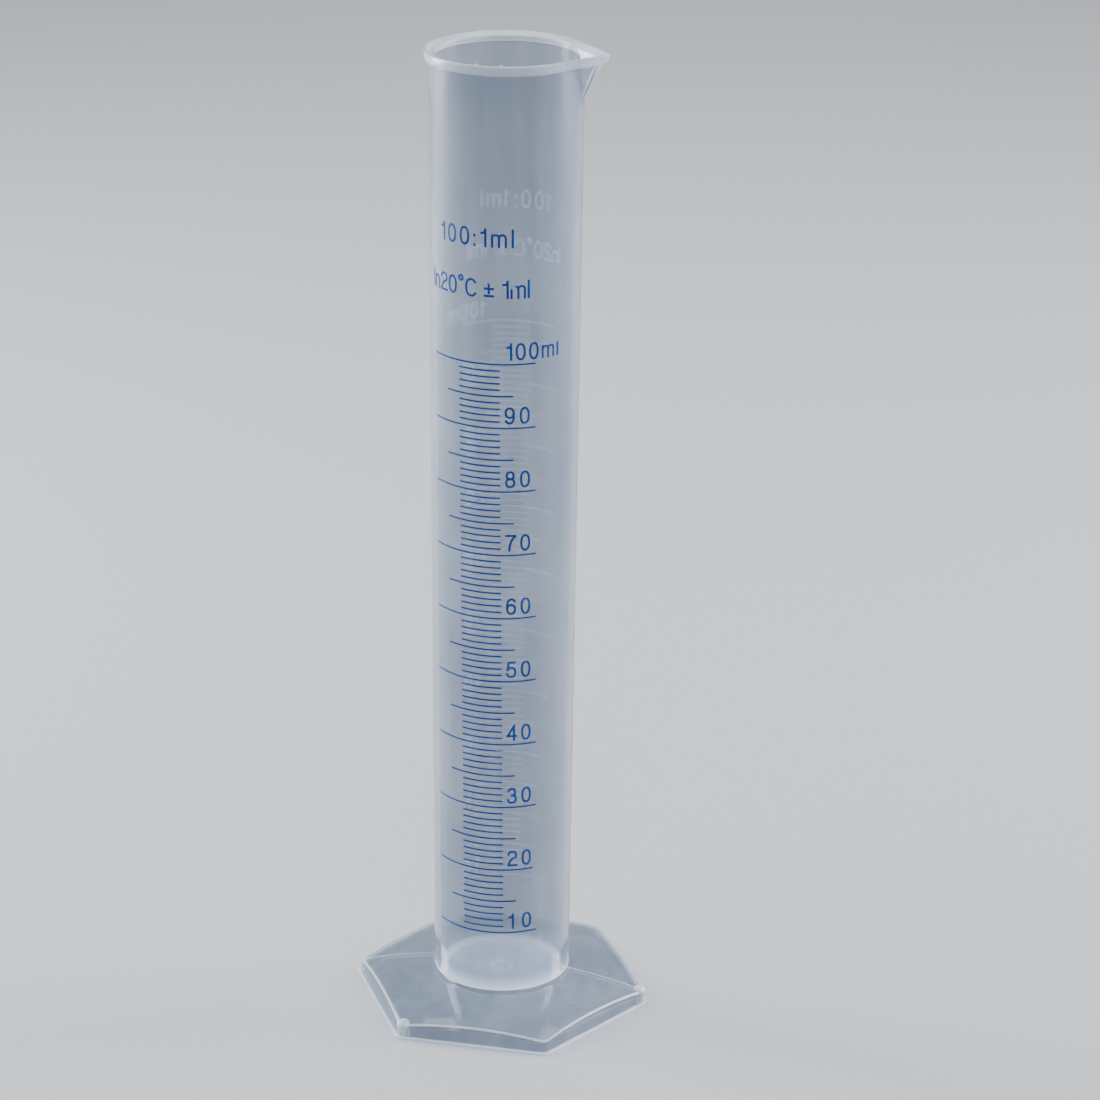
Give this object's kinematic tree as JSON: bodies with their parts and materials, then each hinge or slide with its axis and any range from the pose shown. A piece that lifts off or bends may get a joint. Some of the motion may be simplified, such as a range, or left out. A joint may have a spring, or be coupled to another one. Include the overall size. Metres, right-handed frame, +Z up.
{
  "type": "graduated cylinder",
  "caption": "Slender translucent plastic measuring cylinder with a pour spout, a hexagonal foot and blue volume scales printed on front and back.",
  "frame": {"origin": "on the tube's axis, in the plane that the foot stands on", "axes": "+Z up along the tube's axis, +X along the pour spout and over one corner of the foot; the front scale faces -Y and the rear scale +Y"},
  "size_m": [0.0686, 0.0602, 0.222],
  "materials": {
    "milky_tube_plastic": "satin",
    "clear_foot_plastic": "gloss",
    "blue_ink": "matte"
  },
  "bodies": {
    "root": {"tube_wall": "milky_tube_plastic", "tube_floor": "milky_tube_plastic", "rim_bead": "milky_tube_plastic", "pour_spout": "milky_tube_plastic", "foot_plate": "clear_foot_plastic", "foot_skirt": "clear_foot_plastic", "foot_lip": "clear_foot_plastic", "corner_pips": "clear_foot_plastic", "front_ten_ml_lines": "blue_ink", "front_five_ml_lines": "blue_ink", "front_one_ml_lines": "blue_ink", "front_capacity_text": "blue_ink", "front_tolerance_text": "blue_ink", "front_label_100_ml": "blue_ink", "front_numeral_10": "blue_ink", "front_numeral_20": "blue_ink", "front_numeral_30": "blue_ink", "front_numeral_40": "blue_ink", "front_numeral_50": "blue_ink", "front_numeral_60": "blue_ink", "front_numeral_70": "blue_ink", "front_numeral_80": "blue_ink", "front_numeral_90": "blue_ink", "rear_ten_ml_lines": "blue_ink", "rear_five_ml_lines": "blue_ink", "rear_one_ml_lines": "blue_ink", "rear_capacity_text": "blue_ink", "rear_tolerance_text": "blue_ink", "rear_label_100_ml": "blue_ink", "rear_numeral_10": "blue_ink", "rear_numeral_20": "blue_ink", "rear_numeral_30": "blue_ink", "rear_numeral_40": "blue_ink", "rear_numeral_50": "blue_ink", "rear_numeral_60": "blue_ink", "rear_numeral_70": "blue_ink", "rear_numeral_80": "blue_ink", "rear_numeral_90": "blue_ink"}
  },
  "joints": []
}
